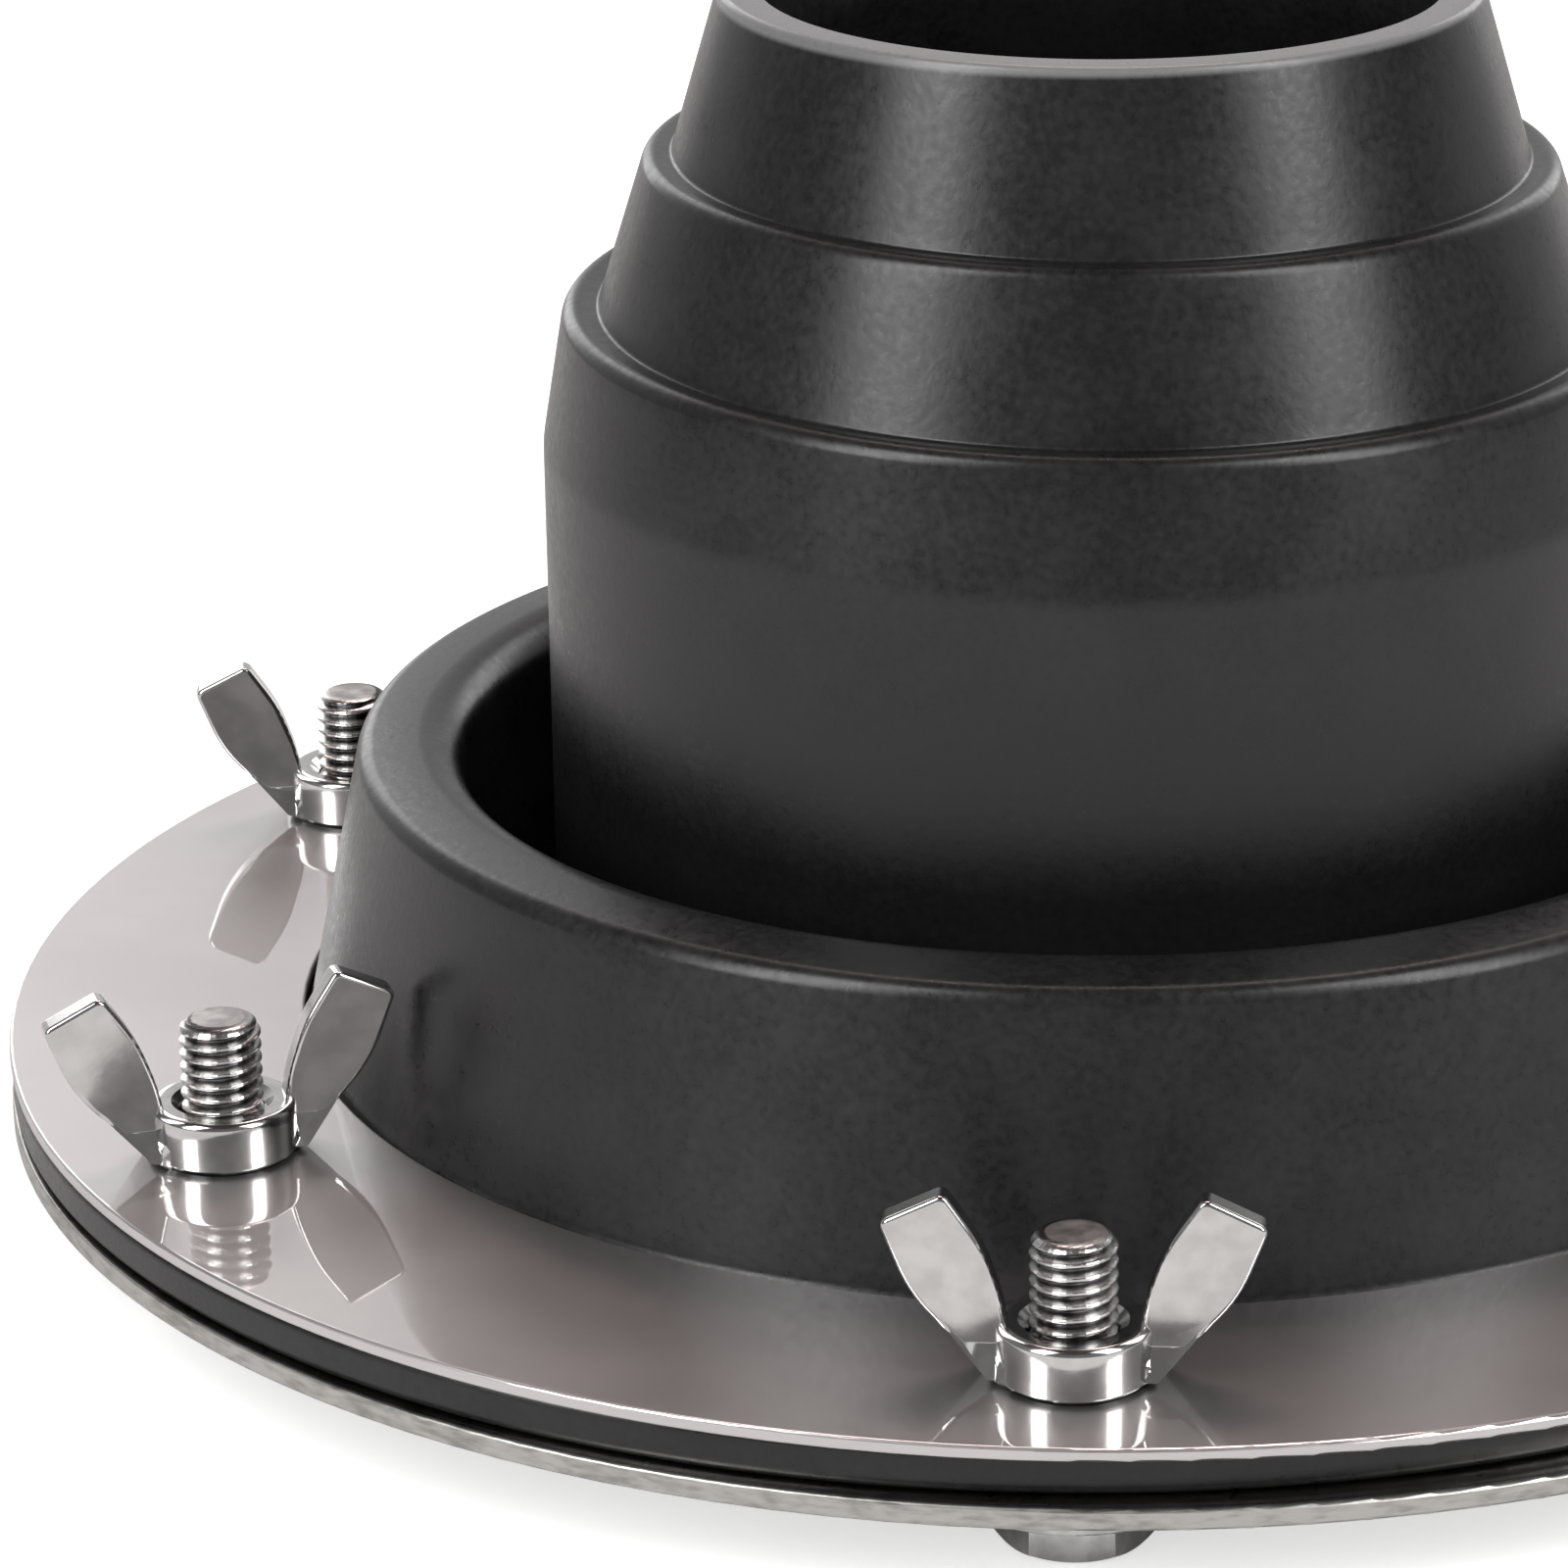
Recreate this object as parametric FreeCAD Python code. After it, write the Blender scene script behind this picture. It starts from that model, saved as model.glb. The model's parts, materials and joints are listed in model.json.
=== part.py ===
import FreeCAD, Part
import math
import os

# Tent stove jack: a stepped rubber pipe boot whose flange is clamped between two
# steel rings by six hex bolts with washers and wing nuts. Millimetres, +Z up, the origin on the
# pipe axis in the plane of the bolt heads' undersides, which the jack stands on.
# The radii are laid out from the pipe bore outwards, the heights from the heads up.

# Rubber boot, from the pipe bore outwards
boot_wall = 3.0
pipe_bore_d = 50.0
pipe_land_h = 6.0
boot_h = 78.6
rim_edge_r = 0.6
top_step_h = 12.8
top_step_draft = 3.75
top_ledge_w = 1.95
top_ledge_rise = 0.1
top_shoulder_r = 2.0
middle_step_h = 11.7
middle_step_draft = 3.75
barrel_ledge_w = 2.55
barrel_ledge_rise = 0.4
barrel_shoulder_r = 1.4
barrel_draft = 1.8
barrel_bend_drop = 10.0
barrel_bend_r = 8.4
crease_r = 0.3
well_w = 7.0
well_draft = 1.0
well_r = 2.8
lip_w = 7.7
lip_h = 22.1
lip_fall = 1.0
lip_inner_r = 3.0
lip_outer_edge_r = 1.6
collar_draft = 4.7
fold_round_share = 0.45
flange_t = 3.4
flange_edge_r = 0.9
flange_inset = 2.0

# Bolts, each with a large washer on its head
bolt_count = 6
first_bolt_deg = -90.0
bolt_d = 6.0
bolt_length = 18.0
bolt_point = 0.7
head_across_flats = 10.0
head_h = 4.0
head_chamfer_deg = 30.0
head_land_share = 0.95
washer_d = 18.0
washer_t = 1.6
washer_hole_clearance = 0.2
washer_edge_r = 0.2

# Steel rings
upper_ring_t = 1.0
lower_ring_t = 1.6
ring_margin = 11.5
ring_edge_r = 0.25
ring_collar_gap = 0.3
ring_hole_clearance = 0.2
rubber_hole_clearance = 0.3

# Wing nuts, resting on the upper ring with their wings clear of the collar
nut_bore_clearance = 0.05
nut_mouth_chamfer = 0.7
nut_top_land = 1.45
nut_taper = 0.5
nut_boss_h = 4.1
nut_foot_chamfer = 0.45
nut_shoulder_z = 2.5
nut_shoulder_r = 1.4
nut_rim_w = 0.35
nut_rim_r = 0.2
wing_span = 26.0
wing_h = 13.3
wing_tip_z = 11.2
wing_w = 4.4
wing_t = 2.1
wing_root_t = 4.6
wing_foot_z = 0.5
wing_foot_r = 0.5
wing_root_depth = 1.4
wing_root_drop = 1.0
wing_shoulder_depth = 0.9
wing_crease_z = 2.7
wing_belly_out = 5.8
wing_belly_z = 6.0
wing_belly_r = 11.0
wing_back_out = 0.9
wing_back_z = 9.6
wing_waist_in = 0.3
wing_waist_z = 6.1
wing_back_r = 13.0
wing_corner_r = 0.7
wing_edge_r = 0.35
wing_collar_gap = 0.9
wing_turns_deg = [-1.0, -48.0, 74.0, 32.0, 10.0, 20.0]

# Heights that follow, from the bolt heads up
lower_ring_z = head_h + washer_t
flange_z = lower_ring_z + lower_ring_t
upper_ring_z = flange_z + flange_t
deck_z = upper_ring_z + upper_ring_t
lip_z = deck_z + lip_h
rim_z = deck_z + boot_h
top_crease_z = rim_z - top_step_h
barrel_top_z = top_crease_z - middle_step_h

# Radii that follow, from the pipe bore outwards
pipe_bore_r = pipe_bore_d / 2
rim_r = pipe_bore_r + boot_wall
top_base_r = rim_r + top_step_draft
middle_top_r = top_base_r + top_ledge_w
middle_base_r = middle_top_r + middle_step_draft
barrel_top_r = middle_base_r + barrel_ledge_w
barrel_r = barrel_top_r + barrel_draft
well_outer_r = barrel_r + well_w
lip_outer_r = well_outer_r + lip_w
collar_r = lip_outer_r + collar_draft
collar_rise = lip_z - lip_fall - upper_ring_z
collar_r_at_wings = collar_r - collar_draft * (deck_z + wing_tip_z - upper_ring_z) / collar_rise
bolt_circle_r = collar_r_at_wings + wing_collar_gap + wing_span / 2
ring_outer_r = bolt_circle_r + ring_margin
bolt_r = bolt_d / 2
nut_bore_r = bolt_r + nut_bore_clearance
nut_mouth_r = nut_bore_r + nut_mouth_chamfer
nut_top_r = nut_mouth_r + nut_top_land
nut_base_r = nut_top_r + nut_taper


def rounded_outline(corners):
    """Closed outline in the XZ plane. Each corner is (x, z, radius of its rounding)."""
    points = [FreeCAD.Vector(x, 0, z) for x, z, radius in corners]
    count = len(points)
    edges = []
    starts = []
    ends = []
    for i, corner in enumerate(corners):
        here = points[i]
        back = points[i - 1] - here
        ahead = points[(i + 1) % count] - here
        half_angle = back.getAngle(ahead) / 2
        reach = min(corner[2] / math.tan(half_angle), 0.49 * back.Length, 0.49 * ahead.Length)
        back.normalize()
        ahead.normalize()
        starts.append(here + back * reach)
        ends.append(here + ahead * reach)
        if reach > 0:
            radius = reach * math.tan(half_angle)
            middle = (back + ahead).normalize() * (radius / math.sin(half_angle) - radius)
            edges.append(Part.Arc(starts[i], here + middle, ends[i]).toShape())
    for i in range(count):
        following = starts[(i + 1) % count]
        if (following - ends[i]).Length > 1e-6:
            edges.append(Part.makeLine(ends[i], following))
    return Part.Wire(Part.__sortEdges__(edges))


def revolved(corners):
    """Solid of revolution about the Z axis from a rounded outline."""
    face = Part.Face(rounded_outline(corners))
    return face.revolve(FreeCAD.Vector(0, 0, 0), FreeCAD.Vector(0, 0, 1), 360)


def bolt_angle(index):
    return first_bolt_deg + 360.0 / bolt_count * index


def at_bolt(shape, index, z, turn_deg):
    """Turn a shape about its own Z axis and set it on the bolt circle."""
    placed = shape.copy()
    angle = math.radians(bolt_angle(index))
    centre = FreeCAD.Vector(bolt_circle_r * math.cos(angle), bolt_circle_r * math.sin(angle), z)
    placed.Placement = FreeCAD.Placement(centre, FreeCAD.Rotation(FreeCAD.Vector(0, 0, 1), turn_deg))
    return placed


def bolt_holes(clearance, z, height):
    """Drills through one layer of the stack, one at each bolt."""
    drill = Part.makeCylinder(bolt_r + clearance, height)
    return [at_bolt(drill, index, z, 0) for index in range(bolt_count)]


def make_ring(z, thickness):
    """Flat steel ring with its bolt holes and lightly broken edges."""
    inner = collar_r + ring_collar_gap
    top = z + thickness
    blank = revolved([(inner, z, ring_edge_r), (ring_outer_r, z, ring_edge_r),
                      (ring_outer_r, top, ring_edge_r), (inner, top, ring_edge_r)])
    return blank.cut(bolt_holes(ring_hole_clearance, z, thickness))


def make_boot():
    """Moulded boot: flange, folded collar, barrel and two steps, with one wall throughout."""
    flange_r = ring_outer_r - flange_inset
    bend_z = barrel_top_z - barrel_bend_drop
    well_z = flange_z + boot_wall
    well_floor_r = well_outer_r - well_draft
    outside = [(flange_r, flange_z, flange_edge_r), (flange_r, upper_ring_z, flange_edge_r),
               (collar_r, upper_ring_z, 0), (lip_outer_r, lip_z - lip_fall, lip_outer_edge_r),
               (well_outer_r, lip_z, lip_inner_r), (well_floor_r, well_z, well_r),
               (barrel_r, well_z, well_r), (barrel_r, bend_z, barrel_bend_r),
               (barrel_top_r, barrel_top_z + barrel_ledge_rise, barrel_shoulder_r),
               (middle_base_r, barrel_top_z, crease_r),
               (middle_top_r, top_crease_z + top_ledge_rise, top_shoulder_r),
               (top_base_r, top_crease_z, crease_r), (rim_r, rim_z, rim_edge_r)]
    inside = [(pipe_bore_r, rim_z, rim_edge_r), (pipe_bore_r, rim_z - pipe_land_h, 0),
              (top_base_r - boot_wall, top_crease_z - boot_wall, crease_r),
              (middle_top_r - boot_wall, top_crease_z + top_ledge_rise - boot_wall, boot_wall),
              (middle_base_r - boot_wall, barrel_top_z - boot_wall, crease_r),
              (barrel_top_r - boot_wall, barrel_top_z + barrel_ledge_rise - boot_wall, boot_wall),
              (barrel_r - boot_wall, bend_z, barrel_bend_r), (barrel_r - boot_wall, flange_z, boot_wall)]
    # The fold stays open from below as a groove that narrows between its two walls
    groove_z = lip_z - 3 * boot_wall
    rise = (groove_z - upper_ring_z) / collar_rise
    groove_outer_r = collar_r - collar_draft * rise - boot_wall
    groove_inner_r = well_floor_r + well_draft * rise + boot_wall
    groove_top_r = (groove_outer_r - groove_inner_r) * fold_round_share
    fold = [(well_floor_r + boot_wall, flange_z, boot_wall), (groove_inner_r, groove_z, groove_top_r),
            (groove_outer_r, groove_z, groove_top_r), (collar_r - boot_wall, flange_z, flange_edge_r)]
    return revolved(outside + inside + fold).cut(bolt_holes(rubber_hole_clearance, flange_z, flange_t))


def make_hex_bolt():
    """Bolt standing on its head: chamfered hexagon and a shank with a pointed end."""
    corner_r = head_across_flats / 2 / math.cos(math.radians(30))
    corners = []
    for step in range(7):
        angle = math.radians(30 + 60 * step)
        corners.append(FreeCAD.Vector(corner_r * math.cos(angle), corner_r * math.sin(angle), 0))
    prism = Part.Face(Part.makePolygon(corners)).extrude(FreeCAD.Vector(0, 0, head_h))
    land_r = head_land_share * head_across_flats / 2
    rise = (2 * corner_r - land_r) * math.tan(math.radians(head_chamfer_deg))
    cone = revolved([(0, 0, 0), (land_r, 0, 0), (2 * corner_r, rise, 0), (2 * corner_r, rise + head_h, 0),
                     (0, rise + head_h, 0)])
    top_z = head_h + bolt_length
    shank = revolved([(0, head_h / 2, 0), (bolt_r, head_h / 2, 0), (bolt_r, top_z - bolt_point, 0),
                      (bolt_r - bolt_point, top_z, 0), (0, top_z, 0)])
    return prism.common(cone).fuse(shank).removeSplitter()


def make_washer():
    """Large flat washer that spreads the head's load over the lower ring."""
    inner = bolt_r + washer_hole_clearance
    outer = washer_d / 2
    return revolved([(inner, head_h, 0), (outer, head_h, washer_edge_r),
                     (outer, lower_ring_z, washer_edge_r), (inner, lower_ring_z, 0)])


def make_wing(turn_deg):
    """One ear: a leaning blade whose root flares below a crease into the boss."""
    root_x = nut_top_r - wing_root_depth
    root_top_z = nut_boss_h - wing_root_drop
    tip_x = wing_span / 2
    outline = [(root_x, wing_foot_z, 0), (nut_base_r, wing_foot_z, wing_foot_r),
               (nut_top_r + wing_belly_out, wing_belly_z, wing_belly_r), (tip_x, wing_tip_z, wing_corner_r),
               (tip_x - wing_w, wing_h, wing_corner_r), (nut_top_r + wing_back_out, wing_back_z, wing_back_r),
               (nut_top_r - wing_waist_in, wing_waist_z, wing_back_r),
               (nut_top_r - wing_shoulder_depth, root_top_z, 0), (root_x, root_top_z, 0)]
    profile = Part.Face(rounded_outline(outline))
    blade = profile.extrude(FreeCAD.Vector(0, wing_t, 0))
    blade.translate(FreeCAD.Vector(0, -wing_t / 2, 0))
    rims = [edge for edge in blade.Edges
            if abs(edge.CenterOfMass.y) > wing_edge_r and edge.BoundBox.XMax > nut_base_r + wing_edge_r]
    blade = blade.makeFillet(wing_edge_r, rims)
    flare_top_z = wing_crease_z + wing_edge_r
    half_root = wing_root_t / 2
    half_top = wing_t / 2 - (half_root - wing_t / 2) * wing_edge_r / (wing_crease_z - wing_foot_z)
    section = [FreeCAD.Vector(0, -half_root, wing_foot_z), FreeCAD.Vector(0, half_root, wing_foot_z),
               FreeCAD.Vector(0, half_top, flare_top_z), FreeCAD.Vector(0, -half_top, flare_top_z),
               FreeCAD.Vector(0, -half_root, wing_foot_z)]
    thick = profile.extrude(FreeCAD.Vector(0, wing_root_t, 0))
    thick.translate(FreeCAD.Vector(0, -half_root, 0))
    flare = thick.common(Part.Face(Part.makePolygon(section)).extrude(FreeCAD.Vector(wing_span, 0, 0)))
    wing = blade.fuse(flare)
    wing.rotate(FreeCAD.Vector(0, 0, 0), FreeCAD.Vector(0, 0, 1), turn_deg)
    return wing


def make_wing_nut():
    """Wing nut with its wings along X: a domed boss with a plain bore and two ears."""
    boss = revolved([(nut_mouth_r, 0, 0), (nut_base_r - nut_foot_chamfer, 0, 0),
                     (nut_base_r, nut_foot_chamfer, 0), (nut_top_r, nut_shoulder_z, nut_shoulder_r),
                     (nut_mouth_r + nut_rim_w, nut_boss_h, nut_rim_r), (nut_mouth_r, nut_boss_h, 0),
                     (nut_bore_r, nut_boss_h - nut_mouth_chamfer, 0), (nut_bore_r, nut_mouth_chamfer, 0)])
    return boss.fuse([make_wing(0), make_wing(180)]).removeSplitter()


def main():
    os.makedirs("parts", exist_ok=True)
    pieces = {"rubber_boot": make_boot(),
              "upper_ring": make_ring(upper_ring_z, upper_ring_t),
              "lower_ring": make_ring(lower_ring_z, lower_ring_t)}
    bolt = make_hex_bolt()
    washer = make_washer()
    nut = make_wing_nut()
    for index in range(bolt_count):
        number = index + 1
        turn = wing_turns_deg[index % len(wing_turns_deg)]
        pieces["hex_bolt_%d" % number] = at_bolt(bolt, index, 0, bolt_angle(index))
        pieces["washer_%d" % number] = at_bolt(washer, index, 0, 0)
        pieces["wing_nut_%d" % number] = at_bolt(nut, index, deck_z, turn)
    for name, shape in pieces.items():
        shape.exportStep("parts/%s.step" % name)
        print(name, len(shape.Solids), shape.isValid(), round(shape.Volume, 1))
    print("bolt circle radius", bolt_circle_r, "ring radius", ring_outer_r)


main()
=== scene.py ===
import bmesh
import bpy
import json
import math
import numpy as np
from mathutils import Matrix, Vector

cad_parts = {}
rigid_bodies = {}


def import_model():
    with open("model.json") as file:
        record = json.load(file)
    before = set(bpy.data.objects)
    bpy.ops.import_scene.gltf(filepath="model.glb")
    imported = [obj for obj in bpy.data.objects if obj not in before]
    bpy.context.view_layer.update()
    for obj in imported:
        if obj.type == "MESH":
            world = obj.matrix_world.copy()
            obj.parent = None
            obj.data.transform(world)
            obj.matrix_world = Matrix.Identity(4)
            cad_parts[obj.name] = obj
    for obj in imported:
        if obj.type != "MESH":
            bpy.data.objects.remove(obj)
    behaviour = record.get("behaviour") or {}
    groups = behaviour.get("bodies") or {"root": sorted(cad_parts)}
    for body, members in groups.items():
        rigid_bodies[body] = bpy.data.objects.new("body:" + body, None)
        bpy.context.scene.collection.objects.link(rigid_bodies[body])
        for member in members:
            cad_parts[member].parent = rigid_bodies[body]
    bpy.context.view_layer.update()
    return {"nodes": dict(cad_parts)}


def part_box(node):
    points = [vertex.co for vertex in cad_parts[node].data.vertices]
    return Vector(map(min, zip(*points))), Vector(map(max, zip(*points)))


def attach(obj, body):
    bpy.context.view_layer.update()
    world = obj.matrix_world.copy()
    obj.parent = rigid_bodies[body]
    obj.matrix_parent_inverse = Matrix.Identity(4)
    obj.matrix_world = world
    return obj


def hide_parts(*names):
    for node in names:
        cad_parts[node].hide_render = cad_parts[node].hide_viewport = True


for stray in list(bpy.data.objects):
    bpy.data.objects.remove(stray)
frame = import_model()


# Rubber boot: one moulding of black rubber with a flat flange, a collar folded back down
# into a well, a barrel and two tapering steps, each to be cut off at its foot for a wider
# pipe. The flange is held between the rings, a little off centre, and the boot leans a bit.
MM = 0.001
FLANGE_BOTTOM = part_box("rubber_boot")[0][2] / MM
BOOT_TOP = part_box("rubber_boot")[1][2] / MM
BOOT_OUTSIDE = [(82.0, 0.0, 0.9), (82.0, 3.4, 0.9), (61.2, 3.4, 0.0), (56.5, 25.5, 1.6),
                (48.8, 26.5, 3.0), (47.8, 3.0, 2.8), (41.8, 3.0, 2.8), (41.8, 48.5, 8.4),
                (40.0, 58.9, 1.4), (37.45, 58.5, 0.3), (33.7, 70.3, 2.0), (31.75, 70.2, 0.3),
                (28.0, 83.0, 0.6)]
BOOT_INSIDE = [(25.0, 83.0, 0.6), (25.0, 77.0, 0.0), (28.75, 67.2, 0.3), (30.7, 67.3, 3.0),
               (34.45, 55.5, 0.3), (37.0, 55.9, 3.0), (38.8, 48.5, 8.4), (38.8, 0.0, 3.0),
               (50.8, 0.0, 3.0), (51.68, 17.5, 1.14), (54.21, 17.5, 1.14), (58.2, 0.0, 0.9)]
BOOT_COLUMNS = 288
BOOT_SPACING = 1.2
LEAN_HEIGHTS = [28.4, 49.4, 58.4, 70.3, 83.0]
LEAN_SIDEWAYS = [0.0, -0.010, -0.0149, -0.0149, -0.008]
LEAN_FORWARD = [0.0, 0.006, 0.010, 0.004, 0.0]
FLANGE_SHIFT = 1.9
FLANGE_SHIFT_DEG = 186.0
COLLAR_FOOT = 61.2
RIM_HIGHLIGHT_FADE = (0.9, 0.4)
WELL_SHADE_RADII = (45, 47)
WELL_SHADE_HEIGHTS = (32, 56)


def rounded_section(corners, spacing):
    """Points of a closed section through (radius, height, rounding) corners, in millimetres."""
    here = np.array([corner[:2] for corner in corners], float)
    back = np.roll(here, 1, axis=0) - here
    ahead = np.roll(here, -1, axis=0) - here
    points = []
    for i, corner in enumerate(corners):
        before, after = np.linalg.norm(back[i]), np.linalg.norm(ahead[i])
        to_back, to_ahead = back[i] / before, ahead[i] / after
        half_angle = math.acos(np.clip(to_back @ to_ahead, -1, 1)) / 2
        reach = min(corner[2] / math.tan(half_angle), 0.49 * before, 0.49 * after)
        start, end = here[i] + to_back * reach, here[i] + to_ahead * reach
        if points:
            gap = start - points[-1]
            steps = max(1, int(np.linalg.norm(gap) / spacing))
            points += [points[-1] + gap * k / steps for k in range(1, steps)]
        if reach < 1e-6:
            points.append(start)
            continue
        radius = reach * math.tan(half_angle)
        bisector = to_back + to_ahead
        centre = here[i] + bisector / np.linalg.norm(bisector) * (radius / math.sin(half_angle))
        first = math.atan2(*(start - centre)[::-1])
        sweep = (math.atan2(*(end - centre)[::-1]) - first + math.pi) % (2 * math.pi) - math.pi
        bends = max(4, int(abs(sweep) / math.radians(6)))
        for k in range(bends + 1):
            angle = first + sweep * k / bends
            points.append(centre + radius * np.array([math.cos(angle), math.sin(angle)]))
    return np.array(points)


def turned_mesh(name, section, columns):
    """Mesh of a closed section turned about the Z axis, in metres, with its faces outwards."""
    angle = np.arange(columns) / columns * 2 * math.pi
    rows = len(section)
    radius, height = section[:, 0] * MM, section[:, 1] * MM
    x = np.outer(np.cos(angle), radius)
    y = np.outer(np.sin(angle), radius)
    z = np.outer(np.ones(columns), height)
    column, row = np.meshgrid(np.arange(columns), np.arange(rows), indexing="ij")
    next_column, next_row = (column + 1) % columns, (row + 1) % rows
    faces = np.stack([column * rows + row, next_column * rows + row,
                      next_column * rows + next_row, column * rows + next_row], axis=-1)
    mesh = bpy.data.meshes.new(name)
    mesh.from_pydata(np.stack([x, y, z], axis=-1).reshape(-1, 3).tolist(), [],
                     faces.reshape(-1, 4).tolist())
    mesh.shade_smooth()
    return mesh


def show(name, mesh, material):
    """Object at the origin that shows a mesh in one material."""
    mesh.materials.clear()
    mesh.materials.append(material)
    shown = bpy.data.objects.new(name, mesh)
    bpy.context.scene.collection.objects.link(shown)
    return shown


class Field:
    """A socket of a node tree. Arithmetic on it adds Math nodes to the same tree."""

    def __init__(self, tree, socket=None):
        self.tree = tree
        self.socket = socket

    def node(self, kind, settings, inputs, output=0):
        """Add a node, set its settings first, then the values or links of its sockets."""
        made = self.tree.nodes.new(kind)
        for key, value in settings.items():
            setattr(made, key, value)
        for key, value in inputs.items():
            if isinstance(value, Field):
                self.tree.links.new(value.socket, made.inputs[key])
            else:
                made.inputs[key].default_value = value
        return Field(self.tree, made.outputs[output])

    def math(self, operation, first, second=0.0):
        return self.node("ShaderNodeMath", {"operation": operation}, {0: first, 1: second})

    def __add__(self, other):
        return self.math("ADD", self, other)

    def __radd__(self, other):
        return self.math("ADD", other, self)

    def __sub__(self, other):
        return self.math("SUBTRACT", self, other)

    def __rsub__(self, other):
        return self.math("SUBTRACT", other, self)

    def __mul__(self, other):
        return self.math("MULTIPLY", self, other)

    def __rmul__(self, other):
        return self.math("MULTIPLY", other, self)

    def __truediv__(self, other):
        return self.math("DIVIDE", self, other)

    def between(self, low, high):
        """0 below low, 1 above high, and smooth between them."""
        return self.node("ShaderNodeMapRange", {"interpolation_type": "SMOOTHSTEP"},
                         {"Value": self, "From Min": low, "From Max": high})

    def noise(self, scale, detail=3.0):
        """Noise of that many features a metre at this vector."""
        return self.node("ShaderNodeTexNoise", {},
                         {"Vector": self, "Scale": scale, "Detail": detail})

    def stretched(self, scale):
        """This vector scaled along each axis."""
        return self.node("ShaderNodeMapping", {}, {"Vector": self, "Scale": scale})

    def part(self, axis):
        """This vector's X, Y or Z."""
        return self.node("ShaderNodeSeparateXYZ", {}, {"Vector": self}, axis)

    def length(self):
        """This vector's length."""
        return self.node("ShaderNodeVectorMath", {"operation": "LENGTH"}, {0: self}, "Value")

    def from_axis(self):
        """Distance of this vector's point from the Z axis."""
        return self.stretched((1.0, 1.0, 0.0)).length()

    def colour(self, dark, light):
        """Mix of two colours by this value."""
        return self.node("ShaderNodeMix", {"data_type": "RGBA"},
                         {0: self, 6: (*dark, 1.0), 7: (*light, 1.0)}, 2)

    def bump(self, distance, strength):
        """Normals that follow this height."""
        return self.node("ShaderNodeBump", {},
                         {"Strength": strength, "Distance": distance, "Height": self})


def surface(name, constants):
    """New material: the material, its shader and its Object coordinates."""
    material = bpy.data.materials.new(name)
    material.use_nodes = True
    shader = material.node_tree.nodes["Principled BSDF"]
    for key, value in constants.items():
        shader.inputs[key].default_value = value
    start = Field(material.node_tree)
    return material, shader, start.node("ShaderNodeTexCoord", {}, {}, "Object")


def feed(shader, sockets):
    """Link fields to a shader's sockets."""
    for key, field in sockets.items():
        field.tree.links.new(field.socket, shader.inputs[key])


rubber, shader, place = surface("charcoal_rubber", {"Specular IOR Level": 0.5})
mottle = place.noise(160.0, 5.0)
grain = place.noise(1500.0, 5.0)
pores = place.noise(2100.0, 1.0).between(0.76, 0.80)
dust = place.noise(5200.0, 2.0).between(0.60, 0.72)
level = place.part("Z")
# Painted highlight: the boot's cut rim is painted light grey, fading in from 0.9 mm to 0.4 mm
# below the top.
rim_painted_highlight = level.between((BOOT_TOP - RIM_HIGHLIGHT_FADE[0]) * MM, (BOOT_TOP - RIM_HIGHLIGHT_FADE[1]) * MM)
tone = (mottle * 0.5 + grain * 0.5).between(0.30, 0.72) * (1 - pores * 0.35) + dust * 0.15
# Painted shade: near the barrel, down in the well inside the collar's fold, the rubber is
# painted up to nine tenths darker towards the bottom.
near_barrel = 1 - place.from_axis().between(WELL_SHADE_RADII[0] * MM, WELL_SHADE_RADII[1] * MM)
well_painted_shade = near_barrel * (1 - level.between(WELL_SHADE_HEIGHTS[0] * MM, WELL_SHADE_HEIGHTS[1] * MM))
tone = tone * (1 - well_painted_shade * 0.9) * 0.055 + rim_painted_highlight * 0.945
feed(shader, {
    "Base Color": tone.colour((0.008, 0.008, 0.0085), (0.20, 0.20, 0.201)),
    "Roughness": 0.13 + mottle * 0.12 + grain * 0.24 + pores * 0.10,
    "Normal": (grain * 0.8 + mottle * 0.2).bump(0.00003, 0.7),
})

section = rounded_section(BOOT_OUTSIDE + BOOT_INSIDE, BOOT_SPACING)
boot = show("moulded_boot", turned_mesh("moulded_boot", section, BOOT_COLUMNS), rubber)
spots = np.zeros(len(boot.data.vertices) * 3)
boot.data.vertices.foreach_get("co", spots)
spots = spots.reshape(-1, 3)
height = spots[:, 2] / MM
sideways = np.interp(height, LEAN_HEIGHTS, LEAN_SIDEWAYS)
forward = np.interp(height, LEAN_HEIGHTS, LEAN_FORWARD)
spots[:, 2] += sideways * spots[:, 0] + forward * spots[:, 1] + FLANGE_BOTTOM * MM
out = np.hypot(spots[:, 0], spots[:, 1]) / MM
shift = FLANGE_SHIFT * MM * np.interp(out, [COLLAR_FOOT, BOOT_OUTSIDE[0][0]], [0.0, 1.0])
spots[:, 0] += shift * math.cos(math.radians(FLANGE_SHIFT_DEG))
spots[:, 1] += shift * math.sin(math.radians(FLANGE_SHIFT_DEG))
boot.data.vertices.foreach_set("co", spots.ravel())
boot.data.update()
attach(boot, "jack")
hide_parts("rubber_boot")


# Upper ring: stamped from stainless sheet and polished like a mirror, with a soft haze
# from the polishing wheel. It lies on the flange under the wing nuts.
mirror, shader, place = surface("polished_steel", {
    "Metallic": 1.0, "Coat Weight": 1.0, "Coat Roughness": 0.03, "Coat IOR": 4.0})
haze = place.noise(60.0, 4.0)
scuffs = place.noise(900.0, 3.0)
feed(shader, {
    "Base Color": haze.between(0.3, 0.7).colour((0.50, 0.475, 0.47), (0.56, 0.535, 0.53)),
    "Roughness": 0.38 + haze * 0.08 + scuffs * 0.03,
})
frame["nodes"]["upper_ring"].material_slots[0].material = mirror


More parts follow.
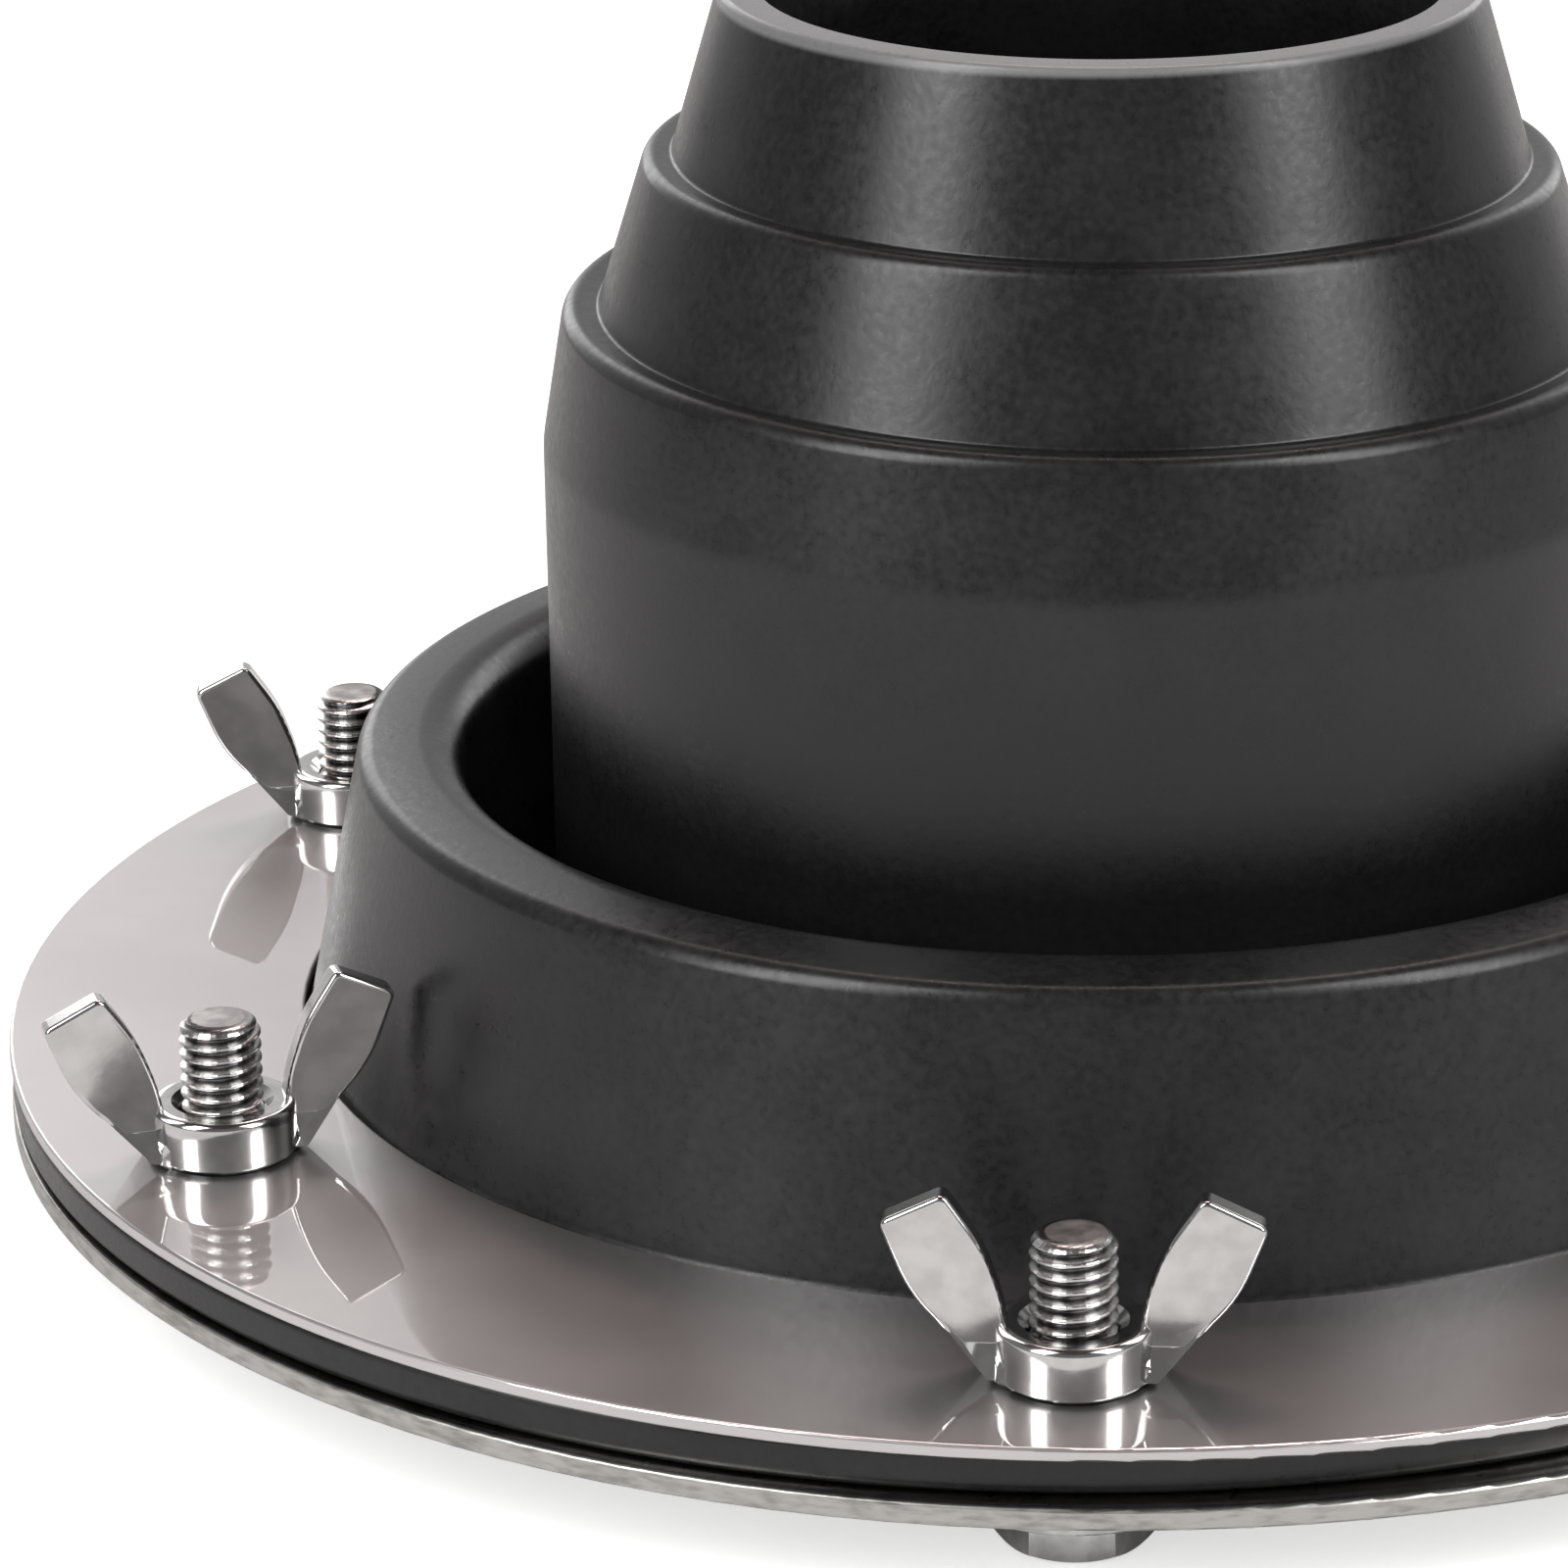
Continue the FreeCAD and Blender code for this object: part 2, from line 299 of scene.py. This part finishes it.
# Lower ring: the same stamping, left plain. Its sheared edge shows fine marks along its
# length, and it presses the tent cloth up against the rubber flange from below.
RING_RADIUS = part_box("lower_ring")[1][0]
EDGE_DEPTH = 0.0003
plain, shader, place = surface("sheared_steel", {"Metallic": 1.0})
tears = place.stretched((1.0, 1.0, 4.0)).noise(520.0, 5.0)
stain = place.noise(120.0, 4.0)
edge = place.from_axis().between(RING_RADIUS - 2 * EDGE_DEPTH, RING_RADIUS - EDGE_DEPTH)
feed(shader, {
    "Base Color": (tears * 0.6 + stain * 0.4).between(0.30, 0.58).colour(
        (0.33, 0.32, 0.30), (0.56, 0.55, 0.525)),
    "Roughness": 0.10 + edge * (0.16 + tears * 0.18),
    "Normal": (tears * edge).bump(0.00008, 0.5),
})
frame["nodes"]["lower_ring"].material_slots[0].material = plain


# Hex bolts and washers: M6 screws of stainless steel, threaded up to the head and pushed up
# through a punched washer, both rings and the flange. The thread is rolled, with crests a
# little rounded and a chamfered end, and the six heads lie as they came from the bag.
BOLT_COUNT = 6
FIRST_BOLT_DEG = -90.0
BOLT_CIRCLE = -sum(corner[1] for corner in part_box("hex_bolt_1")) / 2 / MM
BOLT_RADIUS = 3.0
BOLT_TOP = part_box("hex_bolt_1")[1][2] / MM
HEAD_HEIGHT = 4.0
HEAD_FLAT_RADIUS = 5.0
HEAD_LAND_RADIUS = 4.75
THREAD_PITCH = 1.0
THREAD_DEPTH = 0.61
END_ROUNDING = 1.1
SAWN_FADE = (0.10, 0.03)
TURN_STEPS = 40
RIDGE_STEPS = 16
HEAD_COLUMNS = 48
HEAD_ROWS = 5
HEAD_CHAMFER_DEG = 30
MERGE = 0.002


def inputs_of(tree, sizes):
    """Named float inputs of a Geometry Nodes tree, and their fields."""
    entry = Field(tree)
    for key, value in sizes.items():
        socket = tree.interface.new_socket(key, in_out="INPUT", socket_type="NodeSocketFloat")
        socket.default_value = value
    group = tree.nodes.new("NodeGroupInput")
    return entry, {key: Field(tree, group.outputs[key]) for key in sizes}


def bake_tree(tree, sizes, name):
    """Plain mesh that a Geometry Nodes tree makes with those sizes."""
    carrier = bpy.data.objects.new(name, bpy.data.meshes.new(name))
    bpy.context.scene.collection.objects.link(carrier)
    modifier = carrier.modifiers.new(name, "NODES")
    modifier.node_group = tree
    for item in tree.interface.items_tree:
        if item.in_out == "INPUT" and item.name in sizes:
            modifier[item.identifier] = float(sizes[item.name])
    graph = bpy.context.evaluated_depsgraph_get()
    mesh = bpy.data.meshes.new_from_object(carrier.evaluated_get(graph))
    carrier.modifiers.remove(modifier)
    bpy.data.objects.remove(carrier)
    return mesh


bolt_steel, shader, place = surface("rolled_steel", {"Metallic": 1.0})
wear = place.noise(700.0, 4.0)
thread_root_shade = place.node("ShaderNodeAttribute", {"attribute_name": "thread_root_shade"}, {}, "Fac")
sawn = place.part("Z").between((BOLT_TOP - SAWN_FADE[0]) * MM, (BOLT_TOP - SAWN_FADE[1]) * MM)
# Painted shade: the thread's roots are painted dark between the bright crests.
bright = wear.between(0.3, 0.7) * 0.3 + 0.7 - thread_root_shade.between(0.40, 0.90) * 0.7 - sawn * 0.35
feed(shader, {
    "Base Color": bright.colour((0.05, 0.048, 0.046), (0.80, 0.79, 0.78)),
    "Roughness": 0.17 + wear * 0.12 + sawn * 0.20,
    "Normal": wear.bump(0.00003, 0.3),
})

bolt_sizes = {"radius": BOLT_RADIUS, "top": BOLT_TOP, "head_height": HEAD_HEIGHT,
              "flat_radius": HEAD_FLAT_RADIUS, "land_radius": HEAD_LAND_RADIUS,
              "pitch": THREAD_PITCH, "depth": THREAD_DEPTH, "rounding": END_ROUNDING,
              "circle": BOLT_CIRCLE}
tree = bpy.data.node_groups.new("bolt_set", "GeometryNodeTree")
entry, size = inputs_of(tree, bolt_sizes)
tree.interface.new_socket("Geometry", in_out="OUTPUT", socket_type="NodeSocketGeometry")
threaded_length = BOLT_TOP - HEAD_HEIGHT + 1.5 * THREAD_PITCH
turns = threaded_length / THREAD_PITCH
index = entry.node("GeometryNodeInputIndex", {}, {})
along = index.math("FLOOR", index / (RIDGE_STEPS + 1)) / TURN_STEPS
across = index.math("MODULO", index, RIDGE_STEPS + 1.0) / RIDGE_STEPS
off_crest = across.math("ABSOLUTE", across - 0.5)
ridge = 1 - off_crest.between(0.04, 0.46)
height = size["head_height"] - 0.5 * size["pitch"] + (along + across) * size["pitch"]
height = height.math("MAXIMUM", height, size["head_height"] * 0.5)
height = height.math("MINIMUM", height, size["top"])
thread_radius = size["radius"] - size["depth"] * (1 - ridge)
above_bend = size["rounding"] - (size["top"] - height)
above_bend = above_bend.math("MAXIMUM", above_bend, 0.0)
bend = size["rounding"] * size["rounding"] - above_bend * above_bend
end_radius = size["radius"] - size["rounding"] + bend.math("SQRT", bend)
thread_radius = thread_radius.math("MINIMUM", thread_radius, end_radius)
angle = along * (2 * math.pi)
ribbon = entry.node("GeometryNodeMeshGrid", {},
                    {"Vertices X": int(turns * TURN_STEPS) + 1, "Vertices Y": RIDGE_STEPS + 1})
spot = entry.node("ShaderNodeCombineXYZ", {}, {
    0: thread_radius * angle.math("COSINE", angle), 1: thread_radius * angle.math("SINE", angle),
    2: height})
thread = entry.node("GeometryNodeSetPosition", {}, {"Geometry": ribbon, "Position": spot})
# How deep each point lies in a thread root is kept for the painted shade there.
thread = entry.node("GeometryNodeStoreNamedAttribute",
                    {"data_type": "FLOAT", "domain": "POINT"},
                    {"Geometry": thread, "Name": "thread_root_shade", "Value": 1 - ridge})
thread = entry.node("GeometryNodeMergeByDistance", {}, {"Geometry": thread, "Distance": MERGE})
end_face = entry.node("GeometryNodeMeshCircle", {"fill_type": "NGON"},
                      {"Vertices": TURN_STEPS, "Radius": size["radius"] - size["rounding"]})
end_face = entry.node("GeometryNodeTransform", {}, {
    "Geometry": end_face,
    "Translation": entry.node("ShaderNodeCombineXYZ", {}, {2: size["top"]})})
row = index.math("MODULO", index, float(HEAD_ROWS))
turn = index.math("FLOOR", index / HEAD_ROWS) * (2 * math.pi / HEAD_COLUMNS)
sector = turn.math("MODULO", turn, math.pi / 3) - math.pi / 6
hexagon = size["flat_radius"] / sector.math("COSINE", sector)
is_land = row.math("COMPARE", row, 1.0)
is_side = row.math("GREATER_THAN", row, 1.5) * row.math("LESS_THAN", row, 3.5)
is_top = row.math("GREATER_THAN", row, 2.5)
head_radius = is_land * size["land_radius"] + is_side * hexagon
chamfer = (hexagon - size["land_radius"]) * math.tan(math.radians(HEAD_CHAMFER_DEG))
head_z = is_side * (1 - is_top) * chamfer + is_top * size["head_height"]
head_spot = entry.node("ShaderNodeCombineXYZ", {}, {
    0: head_radius * turn.math("COSINE", turn), 1: head_radius * turn.math("SINE", turn),
    2: head_z})
head = entry.node("GeometryNodeMeshGrid", {},
                  {"Vertices X": HEAD_COLUMNS + 1, "Vertices Y": HEAD_ROWS})
head = entry.node("GeometryNodeSetPosition", {}, {"Geometry": head, "Position": head_spot})
head = entry.node("GeometryNodeMergeByDistance", {}, {"Geometry": head, "Distance": MERGE})
head = entry.node("GeometryNodeSetShadeSmooth", {}, {"Geometry": head, "Shade Smooth": False})
bolt = entry.node("GeometryNodeJoinGeometry", {}, {})
for part in (thread, end_face, head):
    tree.links.new(part.socket, bolt.socket.node.inputs[0])
seats = entry.node("GeometryNodeMeshCircle", {},
                   {"Vertices": BOLT_COUNT, "Radius": size["circle"]})
seats = entry.node("GeometryNodeTransform", {}, {
    "Geometry": seats, "Rotation": (0.0, 0.0, math.radians(FIRST_BOLT_DEG))})
spin = entry.node("FunctionNodeRandomValue", {"data_type": "FLOAT"}, {"Seed": 4}, 1)
spin = spin * (2 * math.pi) * index.math("MINIMUM", index, 1.0)
spin = entry.node("ShaderNodeCombineXYZ", {}, {2: spin})
bolts = entry.node("GeometryNodeInstanceOnPoints", {},
                   {"Points": seats, "Instance": bolt, "Rotation": spin})
bolts = entry.node("GeometryNodeRealizeInstances", {}, {"Geometry": bolts})
bolts = entry.node("GeometryNodeTransform", {}, {"Geometry": bolts, "Scale": (MM, MM, MM)})
bolts = entry.node("GeometryNodeSetMaterial", {}, {"Geometry": bolts, "Material": bolt_steel})
tree.links.new(bolts.socket, tree.nodes.new("NodeGroupOutput").inputs[0])
bolt_mesh = bake_tree(tree, bolt_sizes, "bolt_set")
bolt_set = show("hex_bolts", bolt_mesh, bolt_steel)
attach(bolt_set, "jack")
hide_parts(*["hex_bolt_%d" % (i + 1) for i in range(BOLT_COUNT)])

punched, shader, place = surface("punched_steel", {"Metallic": 1.0})
rub = place.noise(500.0, 4.0)
feed(shader, {
    "Base Color": rub.between(0.3, 0.7).colour((0.50, 0.49, 0.47), (0.70, 0.69, 0.67)),
    "Roughness": 0.26 + rub * 0.16,
    "Normal": rub.bump(0.00004, 0.4),
})
for number in range(1, BOLT_COUNT + 1):
    frame["nodes"]["washer_%d" % number].material_slots[0].material = punched


# Wing nuts: cast stainless steel, tumbled bright, with two ears to turn them by hand. Each
# one runs on its bolt and presses the upper ring down. The solid's boss is domed, so a crown
# with an upright wall is laid over it here, and its skirt is drawn in to that wall.
FOOT_SHADE_FADE = (0.25, 0.55)
nut_steel, shader, place = surface("tumbled_steel", {"Metallic": 1.0})
skin = place.noise(420.0, 4.0)
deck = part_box("wing_nut_1")[0][2]
# Painted shade: the lowest 0.25 to 0.55 mm of each nut, where it sits on the ring, is painted
# near black as a contact shadow.
foot_painted_shade = 1 - place.part("Z").between(deck + FOOT_SHADE_FADE[0] * MM, deck + FOOT_SHADE_FADE[1] * MM)
pits = place.noise(2600.0, 3.0)
feed(shader, {
    "Base Color": (skin.between(0.3, 0.7) * 0.2 + 0.8 - foot_painted_shade * 0.8).colour(
        (0.03, 0.03, 0.03), (0.71, 0.70, 0.69)),
    "Roughness": 0.06 + skin * 0.10 + pits * 0.05,
    "Normal": (skin * 0.7 + pits * 0.3).bump(0.00003, 0.25),
})
BOSS_COLUMNS = 96
BOSS_RADIUS = 5.34
BOSS_SPACING = 0.5
BOSS_WALL = [(3.98, 3.5, 0.0), (4.6, 0.6, 0.0), (BOSS_RADIUS, 0.5, 0.0), (BOSS_RADIUS, 3.3, 0.0),
             (5.27, 3.78, 0.5), (4.98, 4.05, 0.4), (4.6, 4.1, 0.0), (3.98, 4.1, 0.0)]
SKIRT_RADIUS = 5.75
SKIRT_HEIGHT = 2.6
FOOT_RADIUS = 4.95
FOOT_RISE = 0.3
EAR_ROOT = 2.45
UNDER_CROWN = 0.02
WELD = 0.000005
FLAT_DEG = 0.5
SHARP_DEG = 25
crown_section = rounded_section(BOSS_WALL, BOSS_SPACING)
for number in range(1, BOLT_COUNT + 1):
    node = "wing_nut_%d" % number
    low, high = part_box("hex_bolt_%d" % number)
    seat = np.array([(low[0] + high[0]) / 2, (low[1] + high[1]) / 2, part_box(node)[0][2]])
    body = bmesh.new()
    body.from_mesh(frame["nodes"][node].data)
    bmesh.ops.remove_doubles(body, verts=body.verts, dist=WELD)
    bmesh.ops.dissolve_limit(body, angle_limit=math.radians(FLAT_DEG),
                             verts=body.verts, edges=body.edges)
    away = np.array([list(corner.co)[:2] for corner in body.verts]) - seat[:2]
    tip = away[np.argmax(np.hypot(away[:, 0], away[:, 1]))]
    ears = tip / np.linalg.norm(tip)
    for corner in body.verts:
        side = np.array(list(corner.co)[:2]) - seat[:2]
        out = np.linalg.norm(side) / MM
        rise = (corner.co.z - seat[2]) / MM
        off_ears = abs(side[0] * ears[1] - side[1] * ears[0]) / MM
        reach = BOSS_RADIUS - UNDER_CROWN if rise > FOOT_RISE else FOOT_RADIUS
        if reach < out < SKIRT_RADIUS and rise < SKIRT_HEIGHT and off_ears > EAR_ROOT:
            side = side * reach / out
            corner.co.x, corner.co.y = seat[0] + side[0], seat[1] + side[1]
    crown_mesh = turned_mesh("crown_%d" % number, crown_section, BOSS_COLUMNS)
    crown_mesh.transform(Matrix.Translation(seat))
    body.from_mesh(crown_mesh)
    mesh = bpy.data.meshes.new(node + "_cast")
    body.to_mesh(mesh)
    body.free()
    mesh.shade_smooth()
    mesh.set_sharp_from_angle(angle=math.radians(SHARP_DEG))
    nut = show("bright_wing_nut_%d" % number, mesh, nut_steel)
    flats = nut.modifiers.new("flats", "WEIGHTED_NORMAL")
    flats.keep_sharp = True
    flats.weight = 100
    graph = bpy.context.evaluated_depsgraph_get()
    finished = bpy.data.meshes.new_from_object(nut.evaluated_get(graph))
    nut.modifiers.remove(flats)
    nut.data = finished
    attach(nut, "nut_%d" % number)
    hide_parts(node)


# Camera: a long lens in front of the jack, a little above it, at the photograph's angle.
# Its place and angles were solved from the edges of the rings and the boot's rim.
SENSOR_WIDTH = 36.0
FOCAL_LENGTH = 147.465
CAMERA_SPOT = (0.01116, -0.46327, 0.1944)
CAMERA_HEADING, CAMERA_TILT, CAMERA_ROLL = 4.375, 70.209, -1.009
lens = bpy.data.cameras.new("camera")
lens.lens = FOCAL_LENGTH
lens.sensor_width = SENSOR_WIDTH
lens.clip_start = 0.01
camera = bpy.data.objects.new("camera", lens)
bpy.context.scene.collection.objects.link(camera)
camera.rotation_mode = "XYZ"


def turn_about(axis, degrees):
    """Rotation matrix about Z, or else about X."""
    c, s = math.cos(math.radians(degrees)), math.sin(math.radians(degrees))
    if axis == "Z":
        return np.array([[c, -s, 0], [s, c, 0], [0, 0, 1]])
    return np.array([[1, 0, 0], [0, c, -s], [0, s, c]])


aim = np.eye(4)
aim[:3, :3] = (turn_about("Z", CAMERA_HEADING) @ turn_about("X", CAMERA_TILT)
               @ turn_about("Z", CAMERA_ROLL))
aim[:3, 3] = CAMERA_SPOT
camera.matrix_world = [list(line) for line in aim.T]
bpy.context.scene.camera = camera


# Floor and light: a pale floor with a soft shadow, two tall soft boxes in front, two low
# ones and a warm high one behind, and a room, lighter at the back, that the metal reflects.
FLOOR_HALF = 4
FLOOR_Z = -0.00005
FLOOR_GLOW = 0.62
FLOOR_GLOW_FAR = 0.38
floor_paint = bpy.data.materials.new("pale_floor")
floor_paint.use_nodes = True
floor_tree = floor_paint.node_tree
shader = floor_tree.nodes["Principled BSDF"]
shader.inputs["Base Color"].default_value = (0.80, 0.80, 0.80, 1.0)
shader.inputs["Roughness"].default_value = 0.9
shader.inputs["Specular IOR Level"].default_value = 0.0
start = Field(floor_tree)
seen = start.node("ShaderNodeLightPath", {}, {}, "Is Camera Ray")
spot = start.node("ShaderNodeTexCoord", {}, {}, "Object")
far = spot.length().between(0.4, 1.2)
glow = start.node("ShaderNodeEmission", {}, {
    "Color": (1.0, 1.0, 1.0, 1.0), "Strength": seen * (far * FLOOR_GLOW_FAR + FLOOR_GLOW)})
both = start.node("ShaderNodeAddShader", {}, {0: Field(floor_tree, shader.outputs[0]), 1: glow})
floor_tree.links.new(both.socket, floor_tree.nodes["Material Output"].inputs["Surface"])
sheet = bpy.data.meshes.new("floor")
sheet.from_pydata([(x * FLOOR_HALF, y * FLOOR_HALF, FLOOR_Z)
                   for x, y in ((-1, -1), (1, -1), (1, 1), (-1, 1))], [], [(0, 1, 2, 3)])
floor = show("floor", sheet, floor_paint)


def soft_box(name, spot, width, height, radiance, colour=(1.0, 1.0, 1.0)):
    """Area light at a spot, aimed at the middle of the boot, with an even radiance."""
    lamp = bpy.data.lights.new(name, "AREA")
    lamp.color = colour
    lamp.shape = "RECTANGLE"
    lamp.size = width
    lamp.size_y = height
    lamp.energy = radiance * math.pi * width * height
    holder = bpy.data.objects.new(name, lamp)
    bpy.context.scene.collection.objects.link(holder)
    spot = np.array(spot)
    away = spot - np.array([0.0, 0.0, 0.05])
    away = away / np.linalg.norm(away)
    side = np.cross([0.0, 0.0, 1.0] if abs(away[2]) < 0.99 else [0.0, 1.0, 0.0], away)
    side = side / np.linalg.norm(side)
    pose = np.eye(4)
    pose[:3, 0], pose[:3, 1], pose[:3, 2], pose[:3, 3] = side, np.cross(away, side), away, spot
    holder.matrix_world = [list(line) for line in pose.T]


soft_box("left_soft_box", (-0.57, -0.53, 0.60), 0.34, 0.84, 7.0)
soft_box("right_soft_box", (0.64, -0.40, 0.60), 0.34, 0.84, 6.2)
soft_box("left_rim_soft_box", (-0.42, 0.80, 0.32), 0.30, 0.60, 2.0)
soft_box("right_rim_soft_box", (0.46, 0.80, 0.32), 0.30, 0.60, 2.0)
soft_box("top_back_soft_box", (0.0, 0.62, 1.15), 0.60, 0.40, 5.6, (1.0, 0.80, 0.78))
room = bpy.data.worlds.new("room")
bpy.context.scene.world = room
room.use_nodes = True
start = Field(room.node_tree)
reflection = start.node("ShaderNodeLightPath", {}, {}, "Is Glossy Ray")
heading = start.node("ShaderNodeTexCoord", {}, {}, "Generated")
behind = heading.part("Y")
upward = heading.part("Z")
mirrored = 0.19 + behind.between(0.20, 0.80) * 0.47
seen = start.node("ShaderNodeLightPath", {}, {}, "Is Camera Ray")
strength = reflection * mirrored + (1 - reflection) * 0.12 + seen * 0.88
ceiling = (upward.between(0.50, 0.85) * reflection).colour((1.0, 1.0, 1.0), (0.36, 0.29, 0.285))
backdrop = room.node_tree.nodes["Background"]
room.node_tree.links.new(ceiling.socket, backdrop.inputs["Color"])
room.node_tree.links.new(strength.socket, backdrop.inputs["Strength"])
bpy.context.scene.view_settings.view_transform = "Standard"
